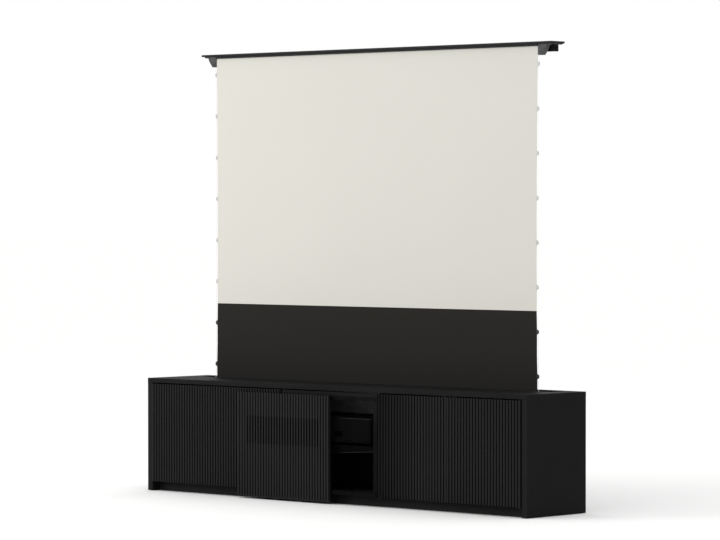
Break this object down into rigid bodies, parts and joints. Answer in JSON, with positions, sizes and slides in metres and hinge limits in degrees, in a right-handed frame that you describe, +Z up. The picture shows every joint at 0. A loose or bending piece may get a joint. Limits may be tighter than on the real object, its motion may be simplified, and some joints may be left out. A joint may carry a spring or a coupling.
{
  "type": "projector cabinet with rising screen",
  "caption": "Long black fluted media cabinet with a projector on a drawer, a sliding vent panel, storage doors and a screen that rises from its top on folding arms.",
  "frame": {"origin": "on the floor, midway along the cabinet and midway between the vent panel's face and the cabinet's back", "axes": "+X to the right along the cabinet as seen from the front, -Y towards the viewer, +Z up"},
  "size_m": [2.62, 0.478, 2.305],
  "materials": {
    "black_lacquer": "satin lacquer over fibreboard",
    "back_board": "black melamine board",
    "black_steel": "black powder coat",
    "grey_steel": "grey powder coat",
    "zinc_steel": "zinc plated",
    "grey_aluminium": "anodised",
    "black_aluminium": "black anodised",
    "bracket_grey": "moulded",
    "white_cloth": "matt white screen cloth",
    "black_cloth": "matt black screen cloth",
    "cord": "braided",
    "tab": "moulded",
    "black_plastic": "fine texture",
    "grey_plastic": "fine texture",
    "window_glass": "coated",
    "mirror": "first surface",
    "lens_barrel": "black anodised",
    "cast_aluminium": "cast and extruded",
    "circuit_board": "solder mask",
    "rubber": "matt"
  },
  "bodies": {
    "cabinet": {"side_panels": "black_lacquer", "top_panel": "black_lacquer", "bottom_panel": "black_lacquer", "plinth": "black_lacquer", "glides": "rubber", "back_panel": "back_board", "partitions": "black_lacquer", "shelves": "black_lacquer", "left_front": "black_lacquer", "pivot_plates": "black_steel", "door_catches": "black_plastic", "mains_inlet": "black_plastic", "control_box": "black_steel", "runner_outers": "zinc_steel", "screen_housing": "grey_steel", "housing_ends": "grey_steel", "tube_motor": "zinc_steel", "arm_bases": "zinc_steel", "lift_springs": "zinc_steel", "screen_cloth": "white_cloth", "screen_drop": "black_cloth", "tension_cords": "cord", "cloth_tabs": "tab"},
    "drawer": {"face_frame": "black_lacquer", "drawer_tray": "black_steel", "runner_inners": "zinc_steel", "vent_fixed_rails": "black_steel", "projector_base": "black_plastic", "projector_cover": "grey_plastic", "side_grilles": "black_plastic", "lens_window": "window_glass", "folding_mirror": "mirror", "projection_lens": "lens_barrel", "light_engine": "cast_aluminium", "heat_sink": "cast_aluminium", "main_board": "circuit_board", "fan_frames": "black_plastic", "projector_feet": "rubber"},
    "runner_middle": {"runner_middles": "zinc_steel"},
    "vent": {"vent_panel": "black_lacquer", "vent_panel_rails": "black_steel"},
    "vent_rail": {"vent_middle_rails": "black_steel"},
    "power_button": {"power_button": "black_plastic"},
    "left_fan": {"left_fan_rotor": "black_plastic"},
    "right_fan": {"right_fan_rotor": "black_plastic"},
    "inner_door": {"inner_door": "black_lacquer", "inner_door_pins": "black_steel"},
    "outer_door": {"outer_door": "black_lacquer", "outer_door_pins": "black_steel"},
    "right_lower_arm": {"right_lower_arm": "grey_aluminium"},
    "right_upper_arm": {"right_upper_arm": "grey_aluminium"},
    "left_lower_arm": {"left_lower_arm": "grey_aluminium"},
    "left_upper_arm": {"left_upper_arm": "grey_aluminium"},
    "lid": {"lid_plate": "black_aluminium", "rear_beam": "black_aluminium", "hem_bar": "black_aluminium", "end_brackets": "bracket_grey", "top_pivots": "zinc_steel"},
    "roller": {"roller": "grey_aluminium"},
    "rocker": {"rocker_switch": "black_plastic"}
  },
  "joints": [
    {"name": "drawer_slide", "type": "slide", "parent": "cabinet", "child": "drawer", "axis": [0, -1, 0], "range_m": [0, 0.385]},
    {"name": "runner_slide", "type": "slide", "parent": "cabinet", "child": "runner_middle", "axis": [0, -1, 0], "range_m": [0, 0.1926]},
    {"name": "vent_slide", "type": "slide", "parent": "drawer", "child": "vent", "axis": [1, 0, 0], "range_m": [-0.326, 0.3008]},
    {"name": "vent_rail_slide", "type": "slide", "parent": "drawer", "child": "vent_rail", "axis": [1, 0, 0], "range_m": [-0.1631, 0.1505]},
    {"name": "power_button_press", "type": "slide", "parent": "drawer", "child": "power_button", "axis": [0, 1, 0], "range_m": [0, 0.0015], "stiffness_N_per_m": 400, "springref_m": -0.001},
    {"name": "left_fan_spin", "type": "hinge", "parent": "drawer", "child": "left_fan", "pos_m": [-0.2352, -0.06, 0.365], "axis": [1, 0, 0], "continuous": true},
    {"name": "right_fan_spin", "type": "hinge", "parent": "drawer", "child": "right_fan", "pos_m": [0.2498, -0.06, 0.365], "axis": [1, 0, 0], "continuous": true},
    {"name": "inner_door_hinge", "type": "hinge", "parent": "cabinet", "child": "inner_door", "pos_m": [0.3536, -0.2015, 0.3], "axis": [0, 0, -1], "range_deg": [0, 90]},
    {"name": "outer_door_hinge", "type": "hinge", "parent": "cabinet", "child": "outer_door", "pos_m": [1.2605, -0.2015, 0.3], "axis": [0, 0, 1], "range_deg": [0, 100]},
    {"name": "lift_hinge", "type": "hinge", "parent": "cabinet", "child": "right_lower_arm", "pos_m": [1, 0.131, 0.474], "axis": [0, 1, 0], "range_deg": [-76.89, 0], "deforming": ["screen_cloth", "screen_drop", "tension_cords", "cloth_tabs"]},
    {"name": "right_knee", "type": "hinge", "parent": "right_lower_arm", "child": "right_upper_arm", "pos_m": [0.82732, 0.153, 1.36237], "axis": [0, 1, 0], "range_deg": [0, 153.78]},
    {"name": "lid_level", "type": "hinge", "parent": "right_upper_arm", "child": "lid", "pos_m": [1, 0.153, 2.25075], "axis": [0, 1, 0], "range_deg": [-76.9, 0]},
    {"name": "left_base", "type": "hinge", "parent": "cabinet", "child": "left_lower_arm", "pos_m": [-1, 0.131, 0.474], "axis": [0, 1, 0], "range_deg": [0, 76.9]},
    {"name": "left_knee", "type": "hinge", "parent": "left_lower_arm", "child": "left_upper_arm", "pos_m": [-0.82732, 0.153, 1.36237], "axis": [0, 1, 0], "range_deg": [-153.78, 0]},
    {"name": "roller_spin", "type": "hinge", "parent": "cabinet", "child": "roller", "pos_m": [0, 0.077, 0.495], "axis": [1, 0, 0], "range_deg": [-3110, 0]},
    {"name": "rocker_hinge", "type": "hinge", "parent": "cabinet", "child": "rocker", "pos_m": [-1.08, 0.2365, 0.15], "axis": [1, 0, 0], "range_deg": [0, 16]}
  ],
  "couplings": [
    {"joint": "runner_slide", "follows": "drawer_slide", "ratio": 0.5},
    {"joint": "vent_rail_slide", "follows": "vent_slide", "ratio": 0.5},
    {"joint": "right_knee", "follows": "lift_hinge", "ratio": -2},
    {"joint": "lid_level", "follows": "lift_hinge", "ratio": 1},
    {"joint": "left_base", "follows": "lift_hinge", "ratio": -1},
    {"joint": "left_knee", "follows": "lift_hinge", "ratio": 2},
    {"joint": "roller_spin", "follows": "lift_hinge", "ratio": 40.4}
  ]
}
